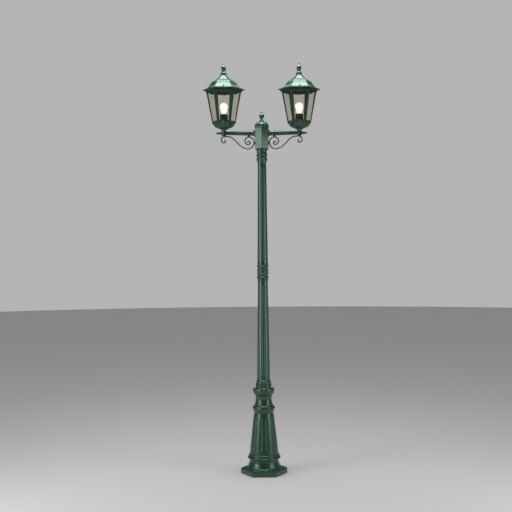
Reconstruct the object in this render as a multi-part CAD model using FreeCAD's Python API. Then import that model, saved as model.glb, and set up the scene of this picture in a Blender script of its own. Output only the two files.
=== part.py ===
import FreeCAD, Part
import math
import os

Vector = FreeCAD.Vector
UP = Vector(0, 0, 1)
ORIGIN = Vector(0, 0, 0)

# Twin-headed garden lamp post. Millimetres, +Z up, +X towards the right-hand lantern, -Y is the front.
# The origin is the centre of the foot, at floor level.

# ---------------------------------------------------------------- driving dimensions
TOTAL_H = 2200.0            # floor to the tips of the lantern finials
LANTERN_X = 202.0           # lantern axis from the column axis
FIT = 0.3                   # radial gap of a slip fit
SIX = 6                     # sides of the foot, the head and the lanterns
FLUTES = 12                 # flutes around the pedestal and both column tubes

# foot
FOOT_R = 125.0              # across the corners, half
FOOT_H = 30.0
FOOT_TOP = 62.0             # seat of the pedestal
ANCHOR_R = 102.0
ANCHOR_HOLE_R = 5.5
CABLE_R = 20.0
FLANGE_BOLTS = 4
FLANGE_BOLT_R = 58.0

# pedestal and collar
PEDESTAL_TOP = 420.0
CONE_LOW = (77.0, 107.5)    # radius and height where the fluted cone begins
CONE_TOP = (54.6, 310.0)
COLLAR_TOP = 470.0
SET_SCREWS = 3              # one to the front
SET_SCREW_Z = 461.8

# column tubes: radius and height of each end
LOWER_FOOT = (34.4, 503.0)
LOWER_TOP = (26.4, 1034.0)
UPPER_FOOT = (28.0, 1126.0)
UPPER_TOP = (22.6, 1655.0)
TUBE_WALL = 4.2

# head: a six-sided box with one corner to the front and flat sides towards the arms
HEAD_Z = 1740.0
HEAD_FLOOR = 1746.0         # inside
HEAD_TOP = 1853.0
HEAD_FLAT = 36.0            # axis to a flat side
HEAD_WALL = 5.8
CAP_TOP = 1886.0
HEAD_FINIAL_TOP = 1941.0

# arms and scrolls
ARM_Z = 1825.0
ARM_BORE_R = 4.2
ARM_TIP = 243.0
BOSS_R = 12.0
BOSS_TOP = 1835.0
BOSS_LOW = 1813.0
CLIP_X = 68.0               # inner fixing of the scroll under the arm
ROD_R = 3.2
LEAD_R = 1.6

# lantern, heights from the floor and corner radii
CUP_TOP = 1878.0
CAGE_LOW_R = 62.6
CAGE_HIGH_R = 94.6
CAGE_HIGH_Z = 2049.5
CAGE_TOP = 2055.0
CAGE_RIM_R = 95.4
CAGE_WALL = 4.0             # measured towards a corner
WINDOW_LOW = 1889.0
WINDOW_HIGH = 2047.5
RIB_LOW = 7.3               # half width of a corner rib along one face
RIB_HIGH = 12.0
PANE_T = 2.5
ROOF_GAP = 0.2
ROOF_TOP = 2146.0
SKIRT_LOW = 2046.5          # lower edge of the skirt under the brim
ROOF_SCREWS = 3
ROOF_SCREW_Z = 2068.5
LUG_FACE = 63.5             # outer face of the lugs that the roof screws press on

# lampholder and bulb
HOLDER_R = 21.0
HOLDER_LOW = 1884.0
HOLDER_TOP = 1926.0
HOLDER_RIBS = 28
SHELL_R = 13.6              # free radius in the threaded shell
BULB_CAP_R = 13.2
BULB_R = 22.5
BULB_MID = 1968.0


# ---------------------------------------------------------------- helpers
def at(radius, angle_deg, z=0.0):
    """Point on a circle about the Z axis."""
    a = math.radians(angle_deg)
    return Vector(radius * math.cos(a), radius * math.sin(a), z)


def turned(start, *steps):
    """Solid of revolution about Z. Two numbers are a line to (r, z), four an arc by way of a point."""
    first = Vector(start[0], 0, start[1])
    here = first
    edges = []
    for step in steps:
        there = Vector(step[-2], 0, step[-1])
        if len(step) == 4:
            middle = Vector(step[0], 0, step[1])
            edges.append(Part.Arc(here, middle, there).toShape())
        else:
            edges.append(Part.makeLine(here, there))
        here = there
    edges.append(Part.makeLine(here, first))
    return Part.Face(Part.Wire(edges)).revolve(ORIGIN, UP, 360)


def ball_tip(radius, top):
    """Last two steps of a turned outline: up to a ball that sits on the axis, then over it."""
    low, over = math.radians(-36), math.radians(27)
    middle = top - radius
    start = (radius * math.cos(low), middle + radius * math.sin(low))
    return start, (radius * math.cos(over), middle + radius * math.sin(over), 0, top)


def rod(radius, low, high, x=0.0, y=0.0):
    """Upright cylinder between two heights."""
    return Part.makeCylinder(radius, high - low, Vector(x, y, low), UP)


def rod_between(radius, start, end):
    """Cylinder from one point to another."""
    return Part.makeCylinder(radius, (end - start).Length, start, end - start)


def block(low, high):
    """Box from its lowest to its highest corner."""
    size = high - low
    return Part.makeBox(size.x, size.y, size.z, low)


def polygon(radius, z, sides=SIX, turn=0.0):
    """Closed regular polygon, its first corner at the angle `turn`."""
    corners = [at(radius, turn + 360.0 * k / sides, z) for k in range(sides)]
    return Part.makePolygon(corners + corners[:1])


def faceted(outline, turn=0.0):
    """Closed six-sided solid through hexagons given as (corner radius, height)."""
    return Part.makeLoft([polygon(r, z, SIX, turn) for r, z in outline], True, True)


def hex_bar(radius, low, high, turn=0.0):
    """Upright hexagonal prism, such as a nut or a bolt head."""
    face = Part.Face(polygon(radius, low, SIX, turn))
    return face.extrude(UP * (high - low))


def around(shape, count, first=0.0):
    """Copies of a shape turned evenly about the Z axis."""
    copies = []
    for k in range(count):
        copy = shape.copy()
        copy.rotate(ORIGIN, UP, first + 360.0 * k / count)
        copies.append(copy)
    return copies


def between(low, high, z):
    """Straight-line radius at height z between two (radius, height) points."""
    return low[0] + (high[0] - low[0]) * (z - low[1]) / (high[1] - low[1])


def fluting(low, high, start, stop, width, depth):
    """Round-ended flute cutters in a cone through (radius, height) low and high."""
    ends = []
    for z in (start, stop):
        surface = between(low, high, z)
        half = 0.5 * width * surface / low[0]
        sink = depth * surface / low[0]
        cutter = (half * half + sink * sink) / (2 * sink)
        ends.append((Vector(surface + cutter - sink, 0, z), cutter))
    (foot, foot_r), (head, head_r) = ends
    axis = head - foot
    body = Part.makeCone(foot_r, head_r, axis.Length, foot, axis)
    tool = body.fuse([Part.makeSphere(foot_r, foot), Part.makeSphere(head_r, head)])
    return around(tool, FLUTES, 180.0 / FLUTES)


def rounded_path(points, radii):
    """Wire of straight runs with a tangent arc of the given radius at each inner point."""
    edges = []
    here = points[0]
    for before, corner, after, radius in zip(points, points[1:], points[2:], radii):
        back = (before - corner).normalize()
        on = (after - corner).normalize()
        half_turn = (math.pi - back.getAngle(on)) / 2
        trim = radius * math.tan(half_turn)
        enter = corner + back * trim
        leave = corner + on * trim
        inward = (back + on).normalize()
        middle = corner + inward * (radius / math.cos(half_turn) - radius)
        edges.append(Part.makeLine(here, enter))
        edges.append(Part.Arc(enter, middle, leave).toShape())
        here = leave
    edges.append(Part.makeLine(here, points[-1]))
    return Part.Wire(edges)


def tube_along(path, radius):
    """Round bar swept along a wire."""
    start = path.Edges[0].valueAt(path.Edges[0].FirstParameter)
    direction = path.Edges[0].tangentAt(path.Edges[0].FirstParameter)
    ring = Part.Wire(Part.makeCircle(radius, start, direction))
    return path.makePipeShell([ring], True, False)


def save(name, *solids):
    """Writes one node."""
    shape = solids[0] if len(solids) == 1 else Part.makeCompound(list(solids))
    shape.exportStep("parts/" + name + ".step")


def moved(shape, x):
    """Copy of a lantern piece on the lantern's own axis."""
    copy = shape.copy()
    copy.translate(Vector(x, 0, 0))
    return copy


def mirrored(shape):
    """Left-hand copy of a right-hand piece."""
    return shape.mirror(ORIGIN, Vector(1, 0, 0))


# ---------------------------------------------------------------- foot and pedestal
def foot_casting():
    """Six-sided flange with a bell riser; a floor with the cable hole and a bolting lip on top."""
    flange = faceted([(FOOT_R - 3, 0), (FOOT_R, 3), (FOOT_R, 24), (FOOT_R - 5, FOOT_H)])
    corners = [e for e in flange.Edges if abs(e.tangentAt(e.FirstParameter).z) > 0.999]
    flange = flange.makeFillet(5.0, corners)
    bell = turned((0, 20), (98, 20), (98, 30), (97, 32.5), (89, 37, 85, 46), (82.5, 53, 80.5, 58),
                  (79.5, FOOT_TOP), (0, FOOT_TOP))
    shape = flange.fuse(bell)
    shape = shape.cut(rod(68, 10, 52)).cut(rod(50, 51, FOOT_TOP + 1)).cut(rod(CABLE_R, -1, 11))
    anchor = rod(ANCHOR_HOLE_R, -1, FOOT_H + 1, ANCHOR_R)
    seat = rod(9.5, 26, FOOT_H + 30, ANCHOR_R)
    shape = shape.cut(around(anchor, 3, 60)).cut(around(seat, 3, 60))
    return shape.cut(around(rod(4.4, 50, FOOT_TOP + 1, FLANGE_BOLT_R), FLANGE_BOLTS, 45))


def pedestal_casting():
    """Hollow fluted cone with a double ring below and a sharp ring and waist above."""
    low_r, low_z = CONE_LOW
    top_r, top_z = CONE_TOP
    outer = turned((0, FOOT_TOP), (79.5, FOOT_TOP), (78.2, 69, 78, 78), (79.5, 80.5), (81.5, 81.5),
                   (88.5, 87, 82.5, 92.5), (80.5, 94), (79.5, 97), (82.4, 101, 79.2, 105),
                   (low_r, low_z), (top_r, top_z), (52.2, 320, 52.4, 333), (55.2, 336, 56, 340),
                   (57.5, 344), (61.5, 351), (57.5, 358), (57, 361), (50, 367, 46.6, 380),
                   (42.4, 396, 43.6, 412), (44.5, 416.5), (44.5, PEDESTAL_TOP), (0, PEDESTAL_TOP))
    inner = turned((0, FOOT_TOP - 1), (50, FOOT_TOP - 1), (50, 71), (70, 71), (67, 100),
                   (48, 318), (46, 348), (36.3, 380), (36.3, PEDESTAL_TOP + 1), (0, PEDESTAL_TOP + 1))
    shape = outer.cut(inner)
    shape = shape.cut(fluting(CONE_LOW, CONE_TOP, 145, 296, 24.0, 4.6))
    return shape.cut(around(rod(4.4, FOOT_TOP - 1, 72, FLANGE_BOLT_R), FLANGE_BOLTS, 45))


def flange_bolt():
    """Hexagon bolt with its nut, up through the foot's lip and the pedestal's flange."""
    bolt = rod(4.0, 46, 80).fuse(hex_bar(7.2, 46.5, 52))
    nut = hex_bar(7.2, 71, 77.5).cut(rod(4.0, 70, 79))
    pieces = []
    for piece in (bolt, nut):
        piece.translate(Vector(FLANGE_BOLT_R, 0, 0))
        pieces += around(piece, FLANGE_BOLTS, 45)
    return pieces


def collar_casting():
    """Swollen collar that screws into the pedestal and holds the lower tube."""
    shape = turned((28, 404), (36, 404), (36, PEDESTAL_TOP), (43.5, PEDESTAL_TOP), (44.5, 421.5),
                   (48.5, 423.5), (54, 430.5, 56.4, 440), (57.4, 449, 56.6, 455), (55, 456.8),
                   (42, 457), (42, COLLAR_TOP), (LOWER_FOOT[0] + FIT, COLLAR_TOP),
                   (LOWER_FOOT[0] + FIT, 430), (28, 430))
    hole = rod_between(2.7, at(30, 0, SET_SCREW_Z), at(60, 0, SET_SCREW_Z))
    return shape.cut(around(hole, SET_SCREWS, -90))


def set_screw():
    """Round-headed screw that grips the tube through the collar."""
    low, high = at(LOWER_FOOT[0] + 0.05, 0, SET_SCREW_Z), at(42.2, 0, SET_SCREW_Z)
    shank = rod_between(2.5, low, high + at(1, 0))
    head = turned((0, 0), (4.2, 0), (4.2, 6.4), (3.4, 8.2), (2.4, 9.2), (0, 9.2)).cut(hex_bar(1.9, 5.5, 10))
    head.rotate(ORIGIN, Vector(0, 1, 0), 90)
    head.translate(high)
    return shank.fuse(head)


def column_base_ring():
    """Stepped ring that slides down the tube on to the collar."""
    bore = LOWER_FOOT[0] + FIT
    return turned((bore, COLLAR_TOP), (41, COLLAR_TOP), (43.4, 474, 41, 478), (39.6, 479),
                  (39.6, 481), (41.4, 484.5, 39.2, 488), (38, 489), (38, 492),
                  (39.2, 495, 37, 498), (36, 499), (36, 502), (bore, LOWER_FOOT[1]))


# ---------------------------------------------------------------- column
def column_tube(low, high, below, start, stop):
    """Tapered fluted tube between two (radius, height) ends, with a plain tail below the first."""
    foot_r, foot_z = low
    top_r, top_z = high
    profile = [(foot_r, foot_z - below), (foot_r, foot_z), (top_r, top_z),
               (top_r - TUBE_WALL, top_z), (foot_r - TUBE_WALL, foot_z)]
    if below:
        profile.append((foot_r - TUBE_WALL, foot_z - below))
    else:
        profile = profile[1:]
    tube = turned(*profile)
    width = 10.4 * foot_r / LOWER_FOOT[0]
    return tube.cut(fluting(low, high, start, stop, width, 1.9))


def mid_coupling():
    """Cast joint between the tubes: four rings between two beads, a spigot at each end."""
    low, high = LOWER_TOP[1], UPPER_FOOT[1]
    return turned((15, 995), (21.9, 995), (21.9, low), (27, low), (28.6, 1038, 27, 1042),
                  (27.2, 1044), (29.5, 1047), (32.6, 1051, 29.5, 1055), (28, 1057),
                  (26.8, 1061, 28, 1065), (29, 1066), (30.8, 1070, 29, 1074), (28.4, 1075),
                  (29.2, 1080.5, 28.4, 1086), (29, 1087), (30.8, 1091, 29, 1095), (28, 1096),
                  (26.9, 1100.5, 28, 1105), (29, 1106), (32, 1110, 29, 1114), (27.6, 1116),
                  (28.9, 1120.5, 28.4, 1123), (28.4, high), (23.2, high), (23.2, 1160), (15, 1160))


def neck_casting():
    """Flared top of the column with three rings; the head stands on it."""
    foot_r, foot_z = UPPER_TOP
    shape = turned((12, 1620), (18.0, 1620), (18.0, foot_z), (foot_r, foot_z), (23.4, 1667, 26.8, 1677),
                   (27.2, 1679), (29.8, 1684, 27.2, 1689), (25.8, 1690), (25.2, 1695, 26, 1700),
                   (27.6, 1701), (30.4, 1706, 27.6, 1711), (26.8, 1712), (26.2, 1721, 27.4, 1731),
                   (29.6, 1732), (31.0, 1736, 29.6, HEAD_Z), (12, HEAD_Z))
    return shape.cut(around(rod(2.1, HEAD_FLOOR - 24, HEAD_Z + 1, 20), 3, -90))


# ---------------------------------------------------------------- head
HEAD_TURN = 30.0
HEAD_R = HEAD_FLAT / math.cos(math.pi / 6)
HEAD_IN_R = (HEAD_FLAT - HEAD_WALL) / math.cos(math.pi / 6)
BRIDGE_Z = 1842.0
TERMINALS = [(x, y) for x in (-8, 0, 8) for y in (18.4, 23.6)]


def head_box():
    """Six-sided wiring box with a floor, a hole for each arm and two lugs for the bridge."""
    shape = faceted([(HEAD_R - 1.5, HEAD_Z), (HEAD_R, HEAD_Z + 2.5), (HEAD_R, HEAD_TOP)], HEAD_TURN)
    shape = shape.cut(faceted([(HEAD_IN_R, HEAD_FLOOR), (HEAD_IN_R, HEAD_TOP + 1)], HEAD_TURN))
    lugs = block(Vector(-7, -HEAD_IN_R - 1, BRIDGE_Z - 8), Vector(7, HEAD_IN_R + 1, BRIDGE_Z))
    lugs = lugs.cut(block(Vector(-8, -25, 1800), Vector(8, 25, 1900)))
    inside = faceted([(HEAD_R - 2, HEAD_FLOOR + 4), (HEAD_R - 2, HEAD_TOP)], HEAD_TURN)
    shape = shape.fuse(lugs.common(inside))
    low, high = HEAD_Z - 4, HEAD_FLOOR + 4
    shape = shape.cut([rod(12, low, high)] + around(rod(2.6, low, high, 20), 3, -90))
    arm_hole = rod_between(9, Vector(-50, 0, ARM_Z), Vector(50, 0, ARM_Z))
    pilots = [rod(1.6, BRIDGE_Z - 7, BRIDGE_Z + 1, 0, y) for y in (-28.5, 28.5)]
    return shape.cut([arm_hole] + pilots)


def head_box_screws():
    """Three screws down through the floor of the box into the neck."""
    low, seat = HEAD_FLOOR - 22, HEAD_FLOOR
    screw = turned((0, low), (2.0, low), (2.0, seat), (4.2, seat), (4.2, seat + 3.5), (0, seat + 3.5))
    screw.translate(Vector(20, 0, 0))
    return around(screw, 3, -90)


def head_bridge():
    """Bar across the box that holds the stud for the cap."""
    bar = block(Vector(-6, -31, BRIDGE_Z), Vector(6, 31, BRIDGE_Z + 4))
    return bar.cut([rod(3.3, 1830, 1860)] + [rod(1.9, 1830, 1860, 0, y) for y in (-28.5, 28.5)])


def bridge_screws():
    """Pan-headed screws through the ends of the bridge."""
    top = BRIDGE_Z + 4
    screw = turned((0, BRIDGE_Z - 6), (1.5, BRIDGE_Z - 6), (1.5, top), (2.6, top), (2.6, top + 2), (0, top + 2))
    return [screw.translated(Vector(0, y, 0)) for y in (-28.5, 28.5)]


def head_stud():
    """Threaded stud with a nut on each side of the bridge."""
    stud = rod(3.0, BRIDGE_Z - 10, 1900)
    nuts = [hex_bar(5.8, BRIDGE_Z - 5, BRIDGE_Z), hex_bar(5.8, BRIDGE_Z + 4, BRIDGE_Z + 9)]
    return stud.fuse(nuts)


# axis to a flat side, and height
CAP_OUTLINE = [(37.8, HEAD_TOP), (38.4, 1855), (38.0, 1859), (37.0, 1864), (35.4, 1869), (33.2, 1873),
               (30.2, 1877), (26.4, 1880.6), (21.8, 1883.6), (16.8, 1885.5), (13.8, CAP_TOP)]


def head_cap():
    """Six-sided cap with a rounded shoulder, hollow below."""
    scale = 1 / math.cos(math.pi / 6)
    outline = [(r * scale, z) for r, z in CAP_OUTLINE]
    hollow = [(30.2 * scale, HEAD_TOP - 1), (30.2 * scale, 1866), (20 * scale, 1877)]
    shape = faceted(outline, HEAD_TURN).cut(faceted(hollow, HEAD_TURN))
    return shape.cut(rod(3.3, 1860, 1900))


def head_finial():
    """Turned pear finial that screws down on the stud."""
    shape = turned((0, CAP_TOP), (13.6, CAP_TOP), (14, 1889.5), (8.8, 1894, 6.6, 1901), (6.6, 1904.5),
                   (12.2, 1907.5, 13.4, 1914), (12.8, 1921.5, 8.4, 1928), (5.8, 1931, 4.2, 1932.6),
                   *ball_tip(4.8, HEAD_FINIAL_TOP))
    return shape.cut(rod(3.05, CAP_TOP - 1, 1901))


def terminal_block():
    """Three-pole block on the floor of the box, behind the cable hole."""
    shape = block(Vector(-12, 16, HEAD_FLOOR), Vector(12, 26, HEAD_FLOOR + 16))
    holes = [rod(2.0, HEAD_FLOOR + 9, HEAD_FLOOR + 17, x, y) for x, y in TERMINALS]
    return shape.cut(holes)


def terminal_screws():
    """Brass clamp screws of the terminal block."""
    return [rod(1.7, HEAD_FLOOR + 10, HEAD_FLOOR + 15.4, x, y) for x, y in TERMINALS]


# ---------------------------------------------------------------- arms, scrolls and leads, right-hand side
def lead_route():
    """From the terminal block up, out through the arm and up the lantern's stem."""
    points = [Vector(4, 21, HEAD_FLOOR + 16.2), Vector(4, 21, 1786), Vector(8, 3, 1822),
              Vector(26, 0, ARM_Z), Vector(LANTERN_X, 0, ARM_Z), Vector(LANTERN_X, 0, 1873)]
    return rounded_path(points, [18, 9, 22, 10])


def arm():
    """Tapered hollow bracket arm: spigot, flared root, ring over the scroll's lug, boss and knob."""
    x = LANTERN_X
    turning = turned((0, 22), (8.7, 22), (8.7, HEAD_FLAT), (18.5, HEAD_FLAT), (18.5, 39.5),
                     (14.6, 43, 13.2, 49), (12.8, 62), (14.2, 63), (14.6, 68, 14.2, 73), (12.6, 74),
                     (9.4, 175), (8.8, 214), (7.2, 219), (6.0, 224, 5.2, 229), (4.4, 231.5),
                     *ball_tip(6.0, ARM_TIP))
    turning.rotate(ORIGIN, Vector(0, 1, 0), 90)
    turning.translate(Vector(0, 0, ARM_Z))
    shape = turning.fuse(rod(BOSS_R, BOSS_LOW, BOSS_TOP, x))
    pad = block(Vector(CLIP_X - 6, -5, ARM_Z - 16), Vector(CLIP_X + 6, 5, ARM_Z - 8))
    shape = shape.fuse(pad)
    bore = rod_between(ARM_BORE_R, Vector(0, 0, ARM_Z), Vector(x - 8, 0, ARM_Z))
    elbow = tube_along(rounded_path([Vector(x - 30, 0, ARM_Z), Vector(x, 0, ARM_Z),
                                     Vector(x, 0, BOSS_TOP + 4)], [10]), ARM_BORE_R)
    socket = rod(6.05, 1830, BOSS_TOP + 1, x)
    screw_hole = rod(2.55, BOSS_LOW - 1, 1819, x)
    clip_hole = rod(1.85, ARM_Z - 17, ARM_Z - 7, CLIP_X)
    return shape.cut([bore, elbow, socket, screw_hole, clip_hole])


def arm_nut():
    """Flat nut on the arm's spigot, inside the head."""
    face = HEAD_FLAT - HEAD_WALL
    nut = hex_bar(13.5, face - 6, face).cut(rod(8.75, 20, 40))
    nut.rotate(ORIGIN, Vector(0, 1, 0), 90)
    nut.translate(Vector(0, 0, ARM_Z))
    return nut


def scroll():
    """Bent bar below the arm: curl under the lantern, long S, large spiral against the head."""
    x = LANTERN_X
    points = [(200, 1791), (192, 1784), (198.5, 1775), (210, 1775.5), (218.5, 1787), (215, 1802.5),
              (197, 1808), (170, 1807), (146, 1788), (118, 1761), (96, 1745), (73, 1739.5),
              (52.5, 1745), (41.5, 1762), (40.8, 1782), (48, 1797.5), (67, 1804.5), (85, 1798.5),
              (92, 1785), (87, 1769.5), (74, 1761.5), (62, 1767.5), (61, 1778), (70, 1782.5),
              (76, 1776.5)]
    radii = []
    places = [Vector(px, 0, pz) for px, pz in points]
    for before, corner, after in zip(places, places[1:], places[2:]):
        back, on = before - corner, after - corner
        half_turn = (math.pi - back.getAngle(on)) / 2
        radii.append(0.45 * min(back.Length, on.Length) / math.tan(half_turn))
    bar = tube_along(rounded_path(places, radii), ROD_R)
    ends = [Part.makeSphere(ROD_R + 0.9, place) for place in (places[0], places[-1])]
    eye = rod(9.0, 1806, BOSS_LOW, x - 1).cut(rod(2.8, 1800, 1820, x))
    lug = block(Vector(CLIP_X - 6, -5, 1804), Vector(CLIP_X + 6, 5, ARM_Z - 16))
    pad = block(Vector(HEAD_FLAT, -4, 1764), Vector(41.5, 4, 1780))
    shape = bar.fuse(ends + [eye, lug, pad])
    room = rod(2.8, 1800, 1812, x).fuse(rod(2.15, 1800, 1812, CLIP_X))
    return shape.cut([room, rod(5.6, 1790, 1806, x), rod(4.2, 1790, 1804, CLIP_X)])


def scroll_screws():
    """Screws that hold the scroll's two lugs up against the arm."""
    big = turned((0, 1801.5), (4.6, 1801.5), (4.9, 1802.3), (4.9, 1806), (2.5, 1806), (2.5, 1818.5), (0, 1818.5))
    small = turned((0, 1801), (3.4, 1801), (3.7, 1801.8), (3.7, 1804), (1.8, 1804), (1.8, 1816.5), (0, 1816.5))
    return [big.translated(Vector(LANTERN_X, 0, 0)), small.translated(Vector(CLIP_X, 0, 0))]


# ---------------------------------------------------------------- lantern, on its own axis
APOTHEM = math.cos(math.pi / SIX)
CAGE_LOW = (CAGE_LOW_R, CUP_TOP)
CAGE_HIGH = (CAGE_HIGH_R, CAGE_HIGH_Z)


def cage_r(z):
    """Corner radius of the cage's outer surface."""
    return between(CAGE_LOW, CAGE_HIGH, z)


def face_plate(outline, depth, thickness):
    """Plate in the front face of the cage: outline of (across, height), depth behind the outer surface."""
    points = [Vector(across, -APOTHEM * cage_r(z), z) for across, z in outline]
    slope = APOTHEM * (CAGE_HIGH_R - CAGE_LOW_R) / (CAGE_HIGH_Z - CUP_TOP)
    inward = Vector(0, 1, slope).normalize()
    points = [p + inward * depth for p in points]
    face = Part.Face(Part.makePolygon(points + points[:1]))
    return face.extrude(inward * thickness)


def stem():
    """Hollow threaded stem from the arm's boss up into the lampholder."""
    return rod(6.0, 1830, 1876).cut(rod(4.0, 1829, 1877))


def stem_nut():
    """Nut that clamps the cup down on the boss."""
    return hex_bar(10.0, 1847, 1853).cut(rod(6.05, 1846, 1854))


CUP_OUTLINE = [(12.4, BOSS_TOP), (13.0, 1839), (16.5, 1844), (24, 1848.5), (34, 1852.5), (44, 1856),
               (50, 1860.5), (53.5, 1866), (58, 1872), (61.5, 1876), (CAGE_LOW_R, CUP_TOP)]


def cup():
    """Six-sided bowl under the lantern with a pointed leaf on each face, outside the cage."""
    shape = faceted(CUP_OUTLINE)
    hollow = faceted([(18, 1847), (37, 1857.5), (46, 1862), (50, 1867), (53, CUP_TOP + 1)])
    shape = shape.cut([hollow, rod(6.3, 1830, 1850)])
    half = 19.0
    root = face_plate([(-half, 1870), (half, 1870), (half, 1876.7), (-half, 1876.7)], -2.6, 7.0)
    leaf = face_plate([(-half, 1873), (half, 1873), (half, 1877), (10, 1882), (4.5, 1884.5),
                       (0, 1890), (-4.5, 1884.5), (-10, 1882), (-half, 1877)], -2.6, 2.2)
    return shape.fuse(around(leaf.fuse(root), SIX))


def cage():
    """Open six-sided frame: bottom ring, corner ribs and rim, with three lugs for the roof screws."""
    outer = faceted([CAGE_LOW, CAGE_HIGH, (CAGE_RIM_R, CAGE_HIGH_Z + 1), (CAGE_RIM_R, CAGE_TOP)])
    well = faceted([(between(CAGE_LOW, CAGE_HIGH, 1883) - CAGE_WALL, 1883),
                    (CAGE_HIGH_R - CAGE_WALL, CAGE_HIGH_Z), (CAGE_HIGH_R - CAGE_WALL, 2051.5)])
    shape = outer.cut([well, faceted([(52, 1870), (52, 1885)]), faceted([(86, 2050), (86, 2060)])])
    low = cage_r(WINDOW_LOW) / 2 - RIB_LOW
    high = cage_r(WINDOW_HIGH) / 2 - RIB_HIGH
    window = face_plate([(-low, WINDOW_LOW), (low, WINDOW_LOW), (high, WINDOW_HIGH), (-high, WINDOW_HIGH)],
                        -3, CAGE_WALL + 5)
    shape = shape.cut(around(window, SIX))
    foot = block(Vector(LUG_FACE - 3.5, -8, 2050.5), Vector(78, 8, CAGE_TOP))
    lug = block(Vector(LUG_FACE - 3.5, -8, 2050.5), Vector(LUG_FACE, 8, ROOF_SCREW_Z + 4.5))
    return shape.fuse(around(foot.fuse(lug), ROOF_SCREWS, 30))


def panes():
    """Six flat panes behind the windows, held between the bottom ring and the rim."""
    low_z, high_z = 1884.0, 2049.0
    depth = CAGE_WALL * APOTHEM + 0.3
    low = cage_r(low_z) / 2 - 4.5
    high = cage_r(high_z) / 2 - 4.5
    pane = face_plate([(-low, low_z), (low, low_z), (high, high_z), (-high, high_z)], depth, PANE_T)
    return around(pane, SIX)


def frets():
    """Scalloped plates that hang in the top of each window, the middle lobe lowest."""
    top = WINDOW_HIGH - 0.3
    side = cage_r(top) / 2 - RIB_HIGH - 0.4
    lobes = [(side - 7.0, 7.0, 1.6), (side - 21.0, 7.0, 2.6), (0.0, side - 28.0, 4.4)]
    right = []
    for middle, half, drop in lobes:
        for k in range(0, 7):
            a = math.pi * k / 7
            right.append((middle + half * math.cos(a), top - 2.4 - drop * math.sin(a)))
    right = right[:-3]
    left = [(-u, z) for u, z in reversed(right)]
    outline = [(side, top)] + right + left + [(-side, top)]
    return around(face_plate(outline, 1.0, 1.6), SIX)


def lampholder_cap():
    """Domed foot of the lampholder, screwed on the stem."""
    return turned((6.2, 1866), (12, 1866), (19, 1869, HOLDER_R - 1, 1878), (HOLDER_R - 1, HOLDER_LOW),
                  (15, HOLDER_LOW), (15, 1877), (6.2, 1877))


def lampholder_body():
    """Ribbed insulating barrel around the threaded shell."""
    shape = turned((8, HOLDER_LOW), (HOLDER_R - 0.5, HOLDER_LOW), (HOLDER_R, HOLDER_LOW + 1),
                   (HOLDER_R, HOLDER_TOP - 1), (HOLDER_R - 1, HOLDER_TOP), (17, HOLDER_TOP),
                   (16, HOLDER_TOP - 5), (14.6, HOLDER_TOP - 8), (14.6, 1892), (8, 1892))
    groove = rod(0.9, HOLDER_LOW + 4, HOLDER_TOP - 5, HOLDER_R + 0.25)
    return shape.cut(around(groove, HOLDER_RIBS))


def lampholder_contacts():
    """Threaded metal shell and the centre contact."""
    wall = turned((SHELL_R, 1894), (14.5, 1894), (14.5, 1917), (SHELL_R, 1917))
    centre = turned((0, 1888), (3, 1888), (3, 1893), (6, 1893), (5, 1894.5), (0, 1895))
    return [wall, centre]


def bulb_cap():
    """Rolled screw cap with its insulator and contact, closed by a collar under the glass."""
    low, high, pitch = 1899.0, 1917.0, 3.6
    steps = [(5, 1895.4), (7, 1896), (10.5, low - 0.5), (12.2, low)]
    z = low
    while z < high - 0.1:
        steps.append((BULB_CAP_R, z + pitch / 2, 12.2, z + pitch))
        z += pitch
    steps += [(12.2, high + 0.6), (12.9, high + 1.4), (12.9, 1923), (0, 1923)]
    return turned((0, 1895.4), *steps)


def bulb_glass():
    """Hollow round envelope with a short neck."""
    def envelope(inset, low):
        r = BULB_R - inset
        join = math.radians(-28)
        side = (r * math.cos(join), BULB_MID + r * math.sin(join))
        steep = (r * math.cos(math.radians(20)), BULB_MID + r * math.sin(math.radians(20)))
        return turned((0, low), (13.6 - inset, low), (13.8 - inset, 1930),
                      (16.0 - inset, 1943, *side), (*steep, 0, BULB_MID + r))
    return envelope(0, 1923.0).cut(envelope(1.2, 1924.5))


def bulb_filament():
    """Glass mount and a zigzag of fine wire on two supports, inside the envelope."""
    mount = turned((0, 1924.5), (6, 1924.5), (3.2, 1932), (2.6, 1950), (0, 1952))
    points = [Vector(-1.5, 0, 1948), Vector(-10, 0, 1966), Vector(-5, 3, 1976), Vector(0, -3, 1969),
              Vector(5, 3, 1976), Vector(10, 0, 1966), Vector(1.5, 0, 1948)]
    wire = tube_along(rounded_path(points, [1.5] * 5), 0.5)
    return mount.fuse(wire)


ROOF_OUTLINE = [(112, CAGE_TOP + ROOF_GAP), (113, 2057), (112.4, 2059.3), (103, 2062), (94, 2064.8),
                (86.5, 2068.5), (81, 2073.5), (76, 2079.5), (71, 2086), (67.5, 2092), (63, 2098),
                (56, 2103), (47, 2107.5), (38.5, 2112.5), (31, 2118.5), (23, 2125.5), (17.2, 2133),
                (15.2, 2139.5), (14.2, ROOF_TOP)]
ROOF_HOLLOW = [(84, CAGE_TOP), (82, 2064), (76.5, 2071.5), (71.5, 2078), (66.5, 2085), (63, 2090.5),
               (58, 2096), (51, 2100), (42, 2104.5), (33, 2110), (24.5, 2117), (17, 2124.5),
               (12, 2132), (10, 2140)]


def ribbed_hexagon(radius, z):
    """Hexagon with a small square rib standing on each corner."""
    half = min(3.6, 0.17 * radius)
    height = min(1.8, 0.06 * radius) if z > 2062 else 0.25
    root = radius - half * math.tan(math.pi / 6)
    points = []
    for k in range(SIX):
        out, across = at(1, 60 * k), at(1, 60 * k + 90)
        for radial, side in ((root, -1), (radius + height, -0.7), (radius + height, 0.7), (root, 1)):
            points.append(out * radial + across * (half * side) + UP * z)
    return Part.makePolygon(points + points[:1])


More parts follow.
